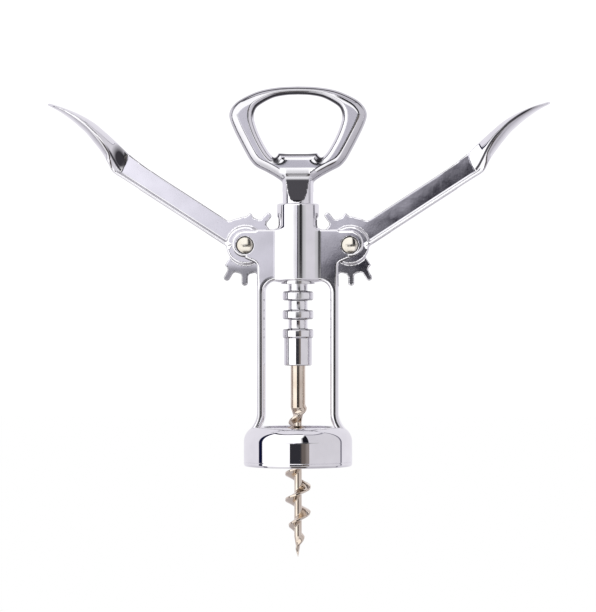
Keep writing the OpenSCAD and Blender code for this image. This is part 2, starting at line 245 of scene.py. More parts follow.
def join(a, b, r):
    """Union of two distance fields with a round fillet of radius r where they meet."""
    return np.maximum(r, np.minimum(a, b)) - np.hypot(np.maximum(r - a, 0), np.maximum(r - b, 0))


def meet(a, b, r):
    """Intersection of two distance fields with its edge rounded to radius r."""
    return np.minimum(-r, np.maximum(a, b)) + np.hypot(np.maximum(r + a, 0), np.maximum(r + b, 0))


def skin(field, low, high, step):
    """A closed skin on the zero level of a distance field. The field is sampled on a grid, each cell that
    the surface crosses gets one point at the mean of its crossings, neighbouring cells are joined by quads,
    and the points are then moved along the field's slope onto the surface itself."""
    low, high = np.array(low, float), np.array(high, float)
    count = np.ceil((high - low) / step).astype(int) + 1
    axes = [low[i] + step * np.arange(count[i]) for i in range(3)]
    grid = field(axes[0][:, None, None], axes[1][None, :, None], axes[2][None, None, :])
    grid = np.broadcast_to(grid, count)
    # the cells with corners on both sides of the surface
    solid = grid < 0
    cells = np.zeros(count - 1, np.int8)
    for i in (0, 1):
        for j in (0, 1):
            for k in (0, 1):
                cells += solid[i:count[0] - 1 + i, j:count[1] - 1 + j, k:count[2] - 1 + k]
    where = np.argwhere((cells > 0) & (cells < 8))
    index = np.full(count - 1, -1)
    index[tuple(where.T)] = np.arange(len(where))
    # the crossings on the cells' edges, and the quads round each crossed edge
    total, hits = np.zeros((len(where), 3)), np.zeros(len(where))
    faces = []
    units = np.eye(3, dtype=int)
    for axis in range(3):
        unit, side_a, side_b = units[axis], units[(axis + 1) % 3], units[(axis + 2) % 3]
        for i in (0, 1):
            for j in (0, 1):
                start = where + i * side_a + j * side_b
                f0, f1 = grid[tuple(start.T)], grid[tuple((start + unit).T)]
                crossed = (f0 < 0) != (f1 < 0)
                share = f0[crossed] / (f0[crossed] - f1[crossed])
                total[crossed] += start[crossed] + share[:, None] * unit
                hits[crossed] += 1
        ends = tuple(slice(0, count[k] - 1) if k == axis else slice(1, count[k] - 1) for k in range(3))
        nexts = tuple(slice(1, count[k]) if k == axis else slice(1, count[k] - 1) for k in range(3))
        at = np.argwhere(solid[ends] != solid[nexts]) + (1 - unit)
        quad = np.stack([index[tuple((at - a).T)] for a in (side_a + side_b, side_b, 0 * unit, side_a)], -1)
        inward = ~solid[tuple(at.T)]
        quad[inward] = quad[inward][:, ::-1]
        faces.append(quad)
    points = low + step * total / hits[:, None]

    def value(p):
        """The field at the points."""
        return field(p[:, 0], p[:, 1], p[:, 2])

    def slope(p, h=0.01):
        """The field's slope at the points, from its values at a distance h on both sides."""
        return np.stack([value(p + h * e) - value(p - h * e) for e in np.eye(3)], -1) / (2 * h)

    for _ in range(3):
        g = slope(points)
        move = value(points)[:, None] * g / np.maximum((g * g).sum(1), 0.05)[:, None]
        points = points - np.clip(move, -0.5 * step, 0.5 * step)
    # how much nearer than expected other surface is, at three distances out from each point: an occlusion
    # estimate, returned as painted shade
    normals = unit_rows(slope(points, 0.06), 1e-6)
    hidden = np.zeros(len(points))
    for reach in (0.3, 0.7, 1.5):
        hidden += np.clip(1 - value(points + reach * normals) / reach, 0, 1) / 3
    return points, np.vstack(faces), normals, hidden


def outline_distance(outline, x, z):
    """Distance from (x, z) to a closed outline, the least of the distances to its sides. It is negative
    inside, where a line drawn sideways crosses the outline an odd number of times."""
    x, z = np.broadcast_arrays(x, z)
    px, pz = x.ravel(), z.ravel()
    best = np.full(px.shape, np.inf)
    inside = np.zeros(px.shape, bool)
    for (ax, az), (bx, bz) in zip(outline, np.roll(outline, -1, 0)):
        dx, dz = bx - ax, bz - az
        t = np.clip(((px - ax) * dx + (pz - az) * dz) / (dx * dx + dz * dz), 0, 1)
        best = np.minimum(best, (px - ax - t * dx) ** 2 + (pz - az - t * dz) ** 2)
        if az != bz:
            inside ^= ((az > pz) != (bz > pz)) & (px < (bx - ax) * (pz - az) / (bz - az) + ax)
    return (np.where(inside, -1, 1) * np.sqrt(best)).reshape(x.shape)


def add_painted_shade(skinned, weight):
    """Raises the painted shade of a skin's points to the given weight."""
    skinned[3][:] = np.maximum(skinned[3], np.clip(weight, 0, 1))


# ---------------------------------------------------------------- frame casting
def leg_shift(z):
    """How far a leg's foot has bent outwards at height z."""
    return FOOT_BEND * np.clip((BELL_HIGH[2] + FOOT_RISE - z) / FOOT_RISE, 0, 1.3) ** 2


def window_distance(x, z):
    """Distance from (x, z), with x to the side, to the window between the legs, negative inside it."""
    side = LEG_OUT - LEG_T + 0.8 * leg_shift(z)
    return corner(x - side + WINDOW_R, z - WINDOW_TOP + WINDOW_R) - WINDOW_R


def frame_field(x, y, z):
    """Distance to the frame. The outline from the front, an ear joined to a leg, is given the frame's width
    with rounded edges, joined to the barrel with a fillet, and less the bore, slots, window and recesses."""
    x, y = np.abs(x), np.abs(y)
    # outline seen from the front: the legs and plate, widened by the ear, with the window cut out
    body = np.maximum(x - LEG_OUT - leg_shift(z), z - (EAR_Z + EAR_R))
    under_ear = (x - LEG_OUT) * math.sin(UNDER_EAR_LEAN) - (z - UNDER_EAR_Z) * math.cos(UNDER_EAR_LEAN)
    ear = np.maximum(np.maximum(under_ear, z - (EAR_Z + EAR_R)), x - PIVOT_X)
    ear = np.minimum(ear, np.hypot(x - PIVOT_X, z - EAR_Z) - EAR_R)
    body = np.maximum(join(body, ear, 0.8), -window_distance(x, z))
    round_r = 0.8 + 0.45 * ease(z, WINDOW_TOP + 2, -6)
    plate = corner(body + round_r, y - FRAME_HALF + round_r) - round_r
    plate = np.maximum(plate, BELL_HIGH[2] - 1.4 - z)
    # barrel
    rho = np.hypot(x, y)
    middle = 0.5 * (BARREL_TOP + BARREL_FOOT)
    barrel = meet(rho - BARREL_R, np.abs(z - middle) - 0.5 * (BARREL_TOP - BARREL_FOOT), 0.6)
    whole = np.maximum(join(plate, barrel, 1.9), z - BARREL_TOP)
    # gear slots, bore and the recesses of the pins' heads
    to_pivot = np.hypot(x - PIVOT_X, z - PIVOT_Z)
    whole = meet(whole, -np.maximum(to_pivot - SLOT_R, y - 0.5 * EAR_GAP), 0.25)
    whole = meet(whole, BORE_R - rho, 0.35)
    recess = np.maximum(to_pivot - (PIN_HEAD_R + 0.3), FRAME_HALF - PIN_SINK - 0.05 - y)
    return meet(whole, -recess, 0.15)


def frame_skin():
    """The frame's skin, with painted shade along the inside of the legs' faces and under the ears."""
    skinned = skin(frame_field, (-23.2, -8.0, 4.0), (23.2, 8.0, 81.0), 0.34)
    x, y, z = skinned[0].T
    x, down = np.abs(x), -skinned[2][:, 2]
    # painted shade: a dark line on the legs' faces beside the window, and a dark band on what faces down
    # under the ears
    line = hump(window_distance(x, z), 1.5, 0.45, 4) * ease(z, WINDOW_TOP + 2.4, -2) * (np.abs(y) > 2.5)
    add_painted_shade(skinned, 0.52 * line * ease(x, 6.5, 2))
    under_ear = (x > LEG_OUT - 0.2) * (z > WINDOW_TOP + 2.4) * (z < PIVOT_Z - 0.5)
    add_painted_shade(skinned, 0.7 * under_ear * ease(down, 0.35, 0.3))
    return skinned


# ---------------------------------------------------------------- levers
# the upper edge, the lower edge and the paddle's rim as (s, t), s along the arm and t across it, and the
# paddle's half width as (s, y)
ARM_TOP = curve([(0, 3.64), (12, 3.64), (24, 3.64), (38, 3.64), (45, 3.95), (50, 4.4), (55, 5.3),
                 (60, 6.25), (65, 6.85), (70, 6.65), (75, 5.8), (80, 4.5), (82.2, 3.7)], 12)
ARM_FOOT = curve([(0, -3.64), (12, -3.64), (24, -3.64), (38, -3.64), (46, -3.66), (49.6, -3.7),
                  (51.4, -3.2), (53.7, -1.8), (57, -0.3), (61.5, 1.2), (65, 2.3), (68.4, 2.9),
                  (72, 3.35), (76.6, 3.5), (80, 3.25), (82.2, 3.0)], 12)
RIM = curve([(40, -2.6), (46, -2.3), (49.4, -1.5), (52, -0.2), (54.3, 1.2), (56.7, 2.5), (59.8, 3.7),
             (62.8, 4.4), (65.9, 5.0), (68.7, 5.2), (71.8, 5.2), (74.6, 5.0), (77, 4.6), (80, 3.9),
             (82.2, 3.35)], 12)
PADDLE_HALF = curve([(40, 1.0), (48, 1.5), (51, 2.5), (54.5, 4.5), (58, 6.2), (62, 7.2), (67, 7.6),
                     (71, 7.3), (75, 6.2), (78.3, 4.3), (80.4, 2.4), (LEVER_LEN, 0.6)], 12)


def height_of(line, s):
    """The second coordinate of a line at each s."""
    return np.interp(s, line[:, 0], line[:, 1])


def finger(s, t, angle, inner, outer, half):
    """Distance to a straight finger with a round tip, out from the pivot at an angle."""
    along = s * math.cos(angle) + t * math.sin(angle)
    across = -s * math.sin(angle) + t * math.cos(angle)
    return np.hypot(across, along - np.clip(along, inner, outer)) - half


def lever_field(s, y, t):
    """Distance to a lever. s runs along the arm from the pivot and t across it, upwards. The outline seen
    from the front is given the web's thickness, and the bead, the hub and the paddle are joined to it."""
    s, y, t = np.broadcast_arrays(s, y, t)
    y = np.abs(y)
    top, foot = height_of(ARM_TOP, s), height_of(ARM_FOOT, s)
    # the outline: arm, gear sector with a hollow above it, seven teeth and the stub of one more
    r = np.hypot(s, t)
    arm = np.maximum(np.maximum(t - top, foot - t), np.maximum(-s, s - 60))
    disc = np.maximum(r - GEAR_ROOT_R, -np.maximum(2.2 - s, t))
    disc = np.maximum(disc, 12.9 - np.hypot(s - 16.6, t - 14.9))
    meshed = math.pi - LEVER_UP + MESH_TURN
    for k in range(-2, 5):
        tooth = finger(s, t, meshed + k * TOOTH_STEP, 7.0, GEAR_TIP_R - 0.5 * TOOTH_W, 0.5 * TOOTH_W)
        disc = join(disc, tooth, 0.9)
    stub = finger(s, t, meshed - 3 * TOOTH_STEP, 6.0, GEAR_ROOT_R + 0.75, 0.45)
    outline = join(arm, join(disc, stub, 1.4), 0.9)
    web = meet(outline, y - WEB_HALF * np.clip((59 - s) / 9, 0.03, 1), 0.3)
    # the bead along the arm's lower edge, and the hub
    bead = np.maximum(np.abs(t - foot - BEAD_H) - BEAD_H, np.maximum(4 - s, s - 54))
    bead = meet(bead, y - BEAD_HALF, 0.5)
    hub = meet(r - HUB_R, y - BEAD_HALF, 0.6)
    body = join(web, join(bead, hub, 0.5), 0.35)
    # paddle: an ellipse across the arm whose rim follows its own line, flaring out of the web
    rim, half = height_of(RIM, s), height_of(PADDLE_HALF, s)
    depth = np.maximum(np.where(t > rim, top - rim, rim - foot), 0.3)
    u, v = y / half, (t - rim) / depth
    g = np.sqrt(u * u + v * v) + 1e-9
    paddle = (g - 1) * g / np.sqrt((u / half) ** 2 + (v / depth) ** 2 + 1e-12)
    paddle = np.maximum(paddle, np.maximum(PADDLE_FROM - s, s - LEVER_LEN))
    body = join(body, paddle, 0.2 + 2.6 * ease(s, 48, 5) * ease(s, 60, -5))
    body = np.where(s > 40, meet(body, np.maximum(t - top, foot - t), 0.3), body)
    return meet(body, PIN_R + 0.05 - r, 0.2)


def lever_painted_shade(skinned, side):
    """The painted shade of a lever, on top of its skin's occlusion estimate: dark marks painted at the
    paddle's seam, and its root on the left lever, along the arm's upper edge and the teeth's edges, and on
    the gear's lower part."""
    points, _, normals, painted_shade = skinned
    s, _, t = points.T
    r = np.hypot(s, t)
    above = t - height_of(RIM, s)
    # painted shade along the paddle's seam and in the hollow at its root
    seam = hump(above, 0.1, 0.42) * (s > 48.5) * ease(s, 80, -8)
    if side > 0:
        root = 0.9 * seam
    else:
        valley = np.clip(1.35 - np.hypot((s - 50.8) / 3.6, (above - 2.3) / 2.8), 0, 1)
        valley = 0.75 * valley * (s > 48.4) * (above > 0)
        root = np.maximum(0.8 * seam * np.clip((58 - s) / 4, 0.12, 1), valley)
    # painted dark lines on the arm's upper edge and the teeth's edges, and a painted shadow on the gear's
    # lower part
    edge = 0.5 * ease(normals[:, 2], 0.4, 0.3) * (s > 12) * (s < 49) * (t > 3)
    tooth_edge = 0.34 * ease(np.abs(normals[:, 1]), 0.8, -0.4) * (r > 7.5) * (r < 14)
    height = s * math.sin(LEVER_UP) + t * math.cos(LEVER_UP)
    low_gear_shadow = (0.16 if side > 0 else 0.34) * ease(height, -5, -3) * (r > HUB_R + 0.25) * (r < 14)
    return np.maximum.reduce([painted_shade, root, edge, tooth_edge, low_gear_shadow])


def lever_piece(skinned, side, name):
    """The right lever (side 1), or its mirror image (side -1), turned up about the pivot."""
    points, faces, normals, _ = skinned
    c, w = math.cos(LEVER_UP), math.sin(LEVER_UP)
    turn = np.array([[c, 0, w], [0, 1, 0], [-w, 0, c]])
    flip = np.array([side, 1.0, 1.0])
    points = (points @ turn + [PIVOT_X, 0, PIVOT_Z]) * flip
    faces = faces if side > 0 else faces[:, ::-1]
    return add_mesh(name, points, faces, (normals @ turn) * flip, lever_painted_shade(skinned, side))


# ---------------------------------------------------------------- handle
def both_sides(half):
    """A closed outline from its right-hand half, listed from the bottom upwards."""
    return np.vstack([half, (half * [-1, 1])[::-1][1:]])


GRIP_OUT = both_sides(curve([(NECK_R, 84.5), (5.2, 87.3), (7.3, 89.1), (10.6, 91.0), (14.0, 92.8),
                             (16.0, 94.9), (17.6, 97.6), (19.5, 101.2), (21.4, 105.0), (22.8, 108.6),
                             (22.85, 110.9), (21.6, 113.2), (18.9, 115.4), (13.0, 118.0), (6.5, 119.2),
                             (0.0, 119.5)], 10))
GRIP_HOLE = both_sides(curve([(6.3, 97.0), (6.8, 96.2), (7.7, 95.7), (8.7, 96.3), (10.3, 98.4),
                              (12.3, 102.0), (13.9, 105.8), (14.7, 109.0), (14.4, 111.3), (12.9, 113.2),
                              (8.5, 115.6), (4.2, 116.5), (0.0, 116.7)], 10))


def handle_field(x, y, z):
    """Distance to the handle: a flat ring on a round neck. The ring's section is an ellipse, quartered and
    set along its outer and inner edges. The scoop at the neck's front and back gets deeper with height, at
    a slope that changes three times."""
    y = np.abs(y)
    outer = np.maximum(1 + outline_distance(GRIP_OUT, x, z) / GRIP_ROUND, 0)
    inner = np.maximum(1 - outline_distance(GRIP_HOLE, x, z) / HOLE_ROUND, 0)
    ring = (np.sqrt((y / GRIP_HALF) ** 2 + outer ** 2 + inner ** 2) + 1e-9 - 1) * 2.4
    neck = meet(np.hypot(x, y) - NECK_R, HANDLE_LOW[2] - z, 0.4)
    neck = np.maximum(neck, z - 90.6)
    up = np.clip(z - SCOOP_FOOT, -0.5, 12)
    depth = 0.64 * up
    for start, change in ((0.9, -0.42), (4, -0.07), (8, 0.15)):
        depth = depth + change * np.maximum(up - start, 0)
    neck = meet(neck, (y - (NECK_R - depth)) * 0.93, 0.06)
    # the lip's two claws stand a little proud
    claw = 0.45 * np.exp(-((np.abs(x) - 6.3) ** 2 + (z - 96.4) ** 2) / 2.6)
    return join(ring - claw, neck, 0.3 + 1.5 * ease(z, 89.2, 1.2))


def handle_skin():
    """The handle's skin, with painted shade in the scoop, along the lip and beside its claws, and painted
    dark lines along the arch.
    """
    skinned = skin(handle_field, (-24.0, -6.0, HANDLE_LOW[2] - 0.6), (24.0, 6.0, 120.2), 0.32)
    x, y, z = skinned[0].T
    # painted shade in the scoop, strongest at its top
    scoop = (np.hypot(x, y) < NECK_R - 0.04) & (np.abs(skinned[2][:, 1]) > 0.8)
    add_painted_shade(skinned, 0.62 * (scoop & (z > SCOOP_FOOT)) * ease(z, 89.3, -1.2))
    add_painted_shade(skinned, 0.33 * scoop * ease(z, 88.4, 0.8) * ease(z, 93, -2))
    # painted dark lines along the arch's outer and inner edges, standing in for dark reflections and shade
    out_edge, in_edge = outline_distance(GRIP_OUT, x, z), -outline_distance(GRIP_HOLE, x, z)
    add_painted_shade(skinned, 0.75 * ease(z, 110.5, 2.5) * hump(out_edge, -0.75, 0.22))
    add_painted_shade(skinned, 0.85 * ease(z, 108, 3) * hump(in_edge, -0.45, 0.42))
    # painted shade along the lip's inner edge and beside the claws
    lip = (np.abs(x) < 8.6) & (z < 99)
    add_painted_shade(skinned, 0.8 * lip * hump(in_edge, -0.35, 0.34))
    add_painted_shade(skinned, 0.9 * hump(np.abs(x), 7.2, 1.2) * hump(z, 94.6, 1.1))
    return skinned


# ---------------------------------------------------------------- turned pieces
def bell_profile():
    """The bell's section: rim bead, groove, wall, round shoulder, top ring, cork hole, stop and skirt."""
    top, rim = BELL_HIGH[2], BELL_LOW[2]
    wall_r, skirt_r, hole_r, shoulder_r = 18.05, 15.3, 11.5, 5.5
    wall = [(skirt_r, rim, 0.25), (wall_r - 0.3, rim, 0.35), (wall_r, rim + 0.7, 0.4),
            (wall_r, rim + 1.32, 0.08), (wall_r - 0.15, rim + 1.42, 0.05), (wall_r, rim + 1.56, 0.08)]
    shoulder = [(BELL_HIGH[0] - shoulder_r + shoulder_r * math.cos(a),
                 top - 0.9 * shoulder_r + shoulder_r * math.sin(a), 0)
                for a in np.radians(np.linspace(0, 64, 22))]
    inside = [(14.6, top, 0.3), (hole_r, top, 0.12), (hole_r, top - 1.8, 0.4), (13.6, 0.4, 0.3),
              (13.6, 0, 0.2), (skirt_r, 0, 0.3)]
    return rounded(wall + shoulder + inside, 5)


def spindle_profile():
    """The rack's section: a bored stem with seven rings and the socket for the worm's shank below them."""
    foot, head, bore, socket_bore = RACK_LOW[2], RACK_HIGH[2], 1.76, 2.61
    flat, slope, bevel_r = 1.0, 1.55, 4.75
    p = [(socket_bore, foot, 0.2), (SOCKET_R, foot, 0.45), (SOCKET_R, foot + 9.1, 0)]
    for i in range(RING_COUNT):
        z = RING_AT_GEAR + (i - RING_COUNT + 2) * RING_PITCH
        if i > 0:
            p.append((STEM_R, z - slope, 0.35))
        p += [(bevel_r, z - slope, 0.2), (RING_R, z - flat, 0.3), (RING_R, z + flat, 0.3),
              (bevel_r, z + slope, 0.2), (STEM_R, z + slope, 0.35)]
    p += [(STEM_R, head, 0.1), (bore, head, 0.1), (bore, foot + 5.7, 0.1), (socket_bore, foot + 5.7, 0.1)]
    return rounded(p, 5)


def bush_profile():
    """The guide bush's section: a ring in the barrel's foot and the thin lip below it."""
    low, high = BUSH_LOW[2], BUSH_HIGH[2]
    lip_r, ring_r = BORE_R + 0.4, BORE_R + 0.75
    return rounded([(BORE_R, low, 0.12), (lip_r, low, 0.12), (lip_r, BARREL_FOOT, 0.05),
                    (ring_r, BARREL_FOOT, 0.08), (ring_r, high, 0.1), (BORE_R, high, 0.1)], 4)


def pin_profile():
    """A pivot pin's section from its front head's middle to its back head's: domed heads on a round pin."""
    seat, face = FRAME_HALF - PIN_SINK, FRAME_HALF
    dome_r = (PIN_HEAD_R ** 2 + PIN_DOME ** 2) / (2 * PIN_DOME)
    angles = np.linspace(0, math.asin((PIN_HEAD_R - 0.12) / dome_r), 14)
    dome = [(max(dome_r * math.sin(a), 0.0004), face + PIN_DOME - dome_r * (1 - math.cos(a)), 0)
            for a in angles]
    head = dome + [(PIN_HEAD_R, face - 0.03, 0.12), (PIN_HEAD_R, seat, 0.1), (PIN_R, seat, 0.1)]
    return rounded([(r, -h, q) for r, h, q in head] + head[::-1], 4)


def worm_radius(z, a):
    """The worm's radius at height z and angle a: a tapered core, thickening into the shank, plus a right-hand
    thread whose crest climbs one pitch in each turn and fades at both ends, with hollow flanks."""
    up = z - WORM_LOW[2]
    size = np.minimum(1, np.clip(up / 15, 0, None) ** 1.3)
    size = np.minimum(size, np.clip((THREAD_TOP - z) / 14, 0, None) ** 0.9)
    core = WORM_CORE_R * np.minimum(1, 0.05 + up / 7) + (SHANK_R - WORM_CORE_R) * ease(z, 7.4, 5) ** 1.5
    turns = (z - CREST_Z) / WORM_PITCH - a / (2 * np.pi)
    off_crest = np.abs(turns - np.round(turns)) * WORM_PITCH
    flank = (1 - ease(off_crest, 0.34, 1.35)) ** 1.45
    return np.maximum(core + (WORM_R - core) * size * flank, 0.02)


def worm_piece():
    """The worm: rings of worm_radius, continued by the round shank and the rod up into the handle, and closed
    by a fan at each end."""
    bottom, rod_top, rod_r = WORM_LOW[2], WORM_HIGH[2], 1.7
    shank_top = RACK_LOW[2] + 5.6
    columns = 96
    a = 2 * np.pi * np.arange(columns) / columns
    rows = bottom + 0.1 * np.arange(int((THREAD_TOP - bottom) / 0.1))
    rows = np.concatenate([rows, [THREAD_TOP, THREAD_TOP + 1, shank_top - 0.2]])
    rod = np.array([(2.35, shank_top), (rod_r, shank_top + 0.02), (rod_r, rod_top - 0.2),
                    (rod_r - 0.2, rod_top), (0.02, rod_top)])
    r = np.vstack([np.full((1, columns), 0.01), worm_radius(rows[:, None], a[None, :]),
                   np.repeat(rod[:, :1], columns, 1)])
    z = np.concatenate([[bottom - 0.02], rows, rod[:, 1]])
    points = np.stack([r * np.cos(a), r * np.sin(a), np.repeat(z[:, None], columns, 1)], -1)
    along = np.gradient(points, axis=0)
    around = np.roll(points, -1, 1) - np.roll(points, 1, 1)
    normals = unit_rows(np.cross(around, along).reshape(-1, 3))
    count = len(z)
    faces = grid_faces(count, columns)
    points = np.vstack([points.reshape(-1, 3), [[0, 0, z[0]], [0, 0, z[-1]]]])
    normals = np.vstack([normals, [[0, 0, -1], [0, 0, 1]]])
    j = np.arange(columns)
    k = (j + 1) % columns
    last = (count - 1) * columns
    foot = np.stack([k, j, np.full(columns, count * columns)], -1)
    head = np.stack([last + j, last + k, np.full(columns, count * columns + 1)], -1)
    return add_mesh("worm_screw", points, faces.tolist() + foot.tolist() + head.tolist(), normals)


# ---------------------------------------------------------------- node tools
def feed(tree, socket, value):
    """Sets a socket to a number or a colour, or links another node's output to it."""
    if isinstance(value, (int, float, tuple)):
        socket.default_value = value
    else:
        tree.links.new(value, socket)


def calc(tree, operation, a, b=None, clamp=False):
    """A Math node's output."""
    node = tree.nodes.new("ShaderNodeMath")
    node.operation = operation
    node.use_clamp = clamp
    feed(tree, node.inputs[0], a)
    if b is not None:
        feed(tree, node.inputs[1], b)
    return node.outputs[0]


def lay(tree, under, colour, mask, blend="MIX"):
    """A colour laid over another where the mask is 1."""
    node = tree.nodes.new("ShaderNodeMix")
    node.data_type = "RGBA"
    node.blend_type = blend
    feed(tree, node.inputs[0], mask)
    feed(tree, node.inputs[6], under)
    feed(tree, node.inputs[7], colour)
    return node.outputs[2]


def empty_tree(owner):
    """The owner's node tree, switched on and cleared."""
    owner.use_nodes = True
    owner.node_tree.nodes.clear()
    return owner.node_tree


def paint(r, g, b):
    """A display colour, 0 to 255, as linear light."""
    c = np.array([r, g, b], float) / 255
    return tuple(np.where(c <= 0.04045, c / 12.92, ((c + 0.055) / 1.055) ** 2.4)) + (1.0,)


# ---------------------------------------------------------------- finishes
def metal(name, colour, rough, grain, ripple, dull=0.0, worn=None):
    """A plated or plain metal. Wear and polish show as soft clouds of roughness and colour, fine hairlines,
    small pits and a slight unevenness of the surface under the plating. Painted shade from a per-point
    attribute darkens corners."""
    mat = bpy.data.materials.new(name)
    tree = empty_tree(mat)
    out = tree.nodes.new("ShaderNodeOutputMaterial")
    shader = tree.nodes.new("ShaderNodeBsdfPrincipled")
    shader.inputs["Metallic"].default_value = 1.0
    tree.links.new(shader.outputs["BSDF"], out.inputs["Surface"])
    coords = tree.nodes.new("ShaderNodeTexCoord").outputs["Object"]

    def noise(scale, detail, stretch=None):
        """Clouds on the piece's own coordinates, in so many to the metre."""
        place = coords
        if stretch:
            mapping = tree.nodes.new("ShaderNodeMapping")
            mapping.inputs["Scale"].default_value = stretch
            tree.links.new(coords, mapping.inputs["Vector"])
            place = mapping.outputs["Vector"]
        node = tree.nodes.new("ShaderNodeTexNoise")
        node.inputs["Scale"].default_value = scale
        node.inputs["Detail"].default_value = detail
        tree.links.new(place, node.inputs["Vector"])
        return node.outputs["Fac"]

    def spread(value, low, high, to_low=0.0, to_high=1.0):
        """The range from low to high spread over another range."""
        node = tree.nodes.new("ShaderNodeMapRange")
        for socket, number in zip(("From Min", "From Max", "To Min", "To Max"), (low, high, to_low, to_high)):
            node.inputs[socket].default_value = number
        tree.links.new(value, node.inputs["Value"])
        return node.outputs["Result"]

    def add(a, b):
        """a + b"""
        return calc(tree, "ADD", a, b)

    def times(a, b):
        """a times b"""
        return calc(tree, "MULTIPLY", a, b)

    clouds = spread(noise(170.0, 4.0), 0.35, 0.7)
    hairs = spread(noise(1400.0, 2.0, (1.0, 1.0, 0.08)), 0.62, 0.8)
    pits = spread(noise(2600.0, 2.0), 0.7, 0.78)
    # painted shade, read from the mesh's per-point attribute
    corners = tree.nodes.new("ShaderNodeAttribute")
    corners.attribute_name = "painted_shade"
    painted_shade = spread(corners.outputs["Fac"], 0.12, 0.6)
    roughness = add(spread(clouds, 0.0, 1.0, rough * 0.75, rough * 1.3), times(hairs, 0.25 * rough))
    roughness = add(add(roughness, times(pits, 0.08)), times(painted_shade, 0.1))
    tree.links.new(roughness, shader.inputs["Roughness"])
    tone = lay(tree, colour, worn or tuple(0.93 * c for c in colour[:3]) + (1.0,), clouds)
    tone = lay(tree, tone, (0.55, 0.55, 0.58, 1.0), times(pits, 0.35 + dull), "MULTIPLY")
    # painted shade: the colour darkened almost to black where the attribute is high
    tone = lay(tree, tone, (0.03, 0.028, 0.034, 1.0), times(painted_shade, 0.97), "MULTIPLY")
    tree.links.new(tone, shader.inputs["Base Color"])
    waves = spread(noise(95.0, 2.0), 0.0, 1.0, 0.0, ripple)
    bump = tree.nodes.new("ShaderNodeBump")
    bump.inputs["Strength"].default_value = 1.0
    bump.inputs["Distance"].default_value = 0.001
    tree.links.new(add(waves, spread(noise(1500.0, 3.0), 0.0, 1.0, 0.0, grain)), bump.inputs["Height"])
    tree.links.new(bump.outputs["Normal"], shader.inputs["Normal"])
    return mat


FRAME_CHROME = metal("frame_chrome", (0.86, 0.85, 0.875, 1), 0.045, 0.0006, 0.005)
BELL_CHROME = metal("bell_chrome", (0.87, 0.86, 0.885, 1), 0.03, 0.0001, 0.0025)
HANDLE_CHROME = metal("handle_chrome", (0.86, 0.85, 0.885, 1), 0.05, 0.0006, 0.012)
LEVER_CHROME = metal("lever_chrome", (0.86, 0.85, 0.88, 1), 0.05, 0.0007, 0.012)
SPINDLE_CHROME = metal("spindle_chrome", (0.86, 0.85, 0.87, 1), 0.045, 0.0005, 0.006)
WORM_NICKEL = metal("worm_nickel", (0.77, 0.69, 0.6, 1), 0.055, 0.0008, 0.008, 0.2, (0.62, 0.52, 0.43, 1))
PIN_NICKEL = metal("pin_nickel", (0.72, 0.69, 0.63, 1), 0.14, 0.0012, 0.01, 0.1, (0.6, 0.55, 0.47, 1))
BUSH_STEEL = metal("bush_steel", (0.8, 0.79, 0.8, 1), 0.09, 0.0008, 0.006, 0.2)


# ---------------------------------------------------------------- the pieces
def finish_piece(piece, body, node, material):
    """Puts the material on a piece, hangs it on the body it rides on and hides the CAD node it stands for."""
    piece.data.materials.append(material)
    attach(piece, body)
    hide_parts(node)


lever_skin = skin(lever_field, (-14.6, -8.3, -14.2), (83.0, 8.3, 14.4), 0.34)
casting = add_mesh("frame_casting", *frame_skin())
finish_piece(casting, "frame_body", "frame", FRAME_CHROME)
bell = turned("bell_casting", bell_profile(), 240)
finish_piece(bell, "frame_body", "bell", BELL_CHROME)
bush = turned("guide_bush", bush_profile(), 96)
finish_piece(bush, "frame_body", "lower_guide_bush", BUSH_STEEL)
# the rings' faces that face up or down get painted shade
rack = turned("rack_stem", spindle_profile(), 144, edge=0.42)
finish_piece(rack, "rack_body", "rack_spindle", SPINDLE_CHROME)
handle = add_mesh("handle_casting", *handle_skin())
finish_piece(handle, "screw_body", "handle", HANDLE_CHROME)
finish_piece(worm_piece(), "screw_body", "worm", WORM_NICKEL)
for side, word in ((1, "right"), (-1, "left")):
    lever = lever_piece(lever_skin, side, word + "_lever_casting")
    finish_piece(lever, word + "_lever_body", word + "_lever", LEVER_CHROME)
for side, word in ((1, "right"), (-1, "left")):
    pin = turned(word + "_pin", pin_profile(), 72, "Y", (side * PIVOT_X, 0, PIVOT_Z))
    finish_piece(pin, "frame_body", word + "_pivot_pin", PIN_NICKEL)


# ---------------------------------------------------------------- studio
# angles in degrees: how high the panels reach and what they cover across, and the gap's greys, 0 to 255,
# by angle across
PANEL_TOP = 57.0
LEFT_PANEL = (-81.0, 20.0)
LEFT_BORDER = -92.0
RIGHT_PANEL = (24.0, 102.0)
GAP_TONES = [(-28, 255), (-22, 248), (-16, 235), (-10, 222), (-7, 198), (-5, 180), (0, 146), (5, 127),
             (11, 66), (14, 20), (18, 14), (21, 90), (27, 180), (33, 195), (45, 208)]
ROOM = paint(230, 228, 234)
PANEL_LIGHT = (1.3, 1.3, 1.3, 1.0)
RIGHT_LIGHT = paint(216, 214, 219)
DARK_BORDER = paint(24, 24, 34)
BLUE_BORDER = paint(14, 18, 50)
GREY_BORDER = paint(120, 118, 130)
TABLE = paint(150, 147, 155)
STRIP = paint(26, 26, 32)
BLOCK = (paint(48, 48, 53), paint(104, 96, 91), paint(140, 132, 128))
FLOOR_SHADE = paint(84, 78, 76)


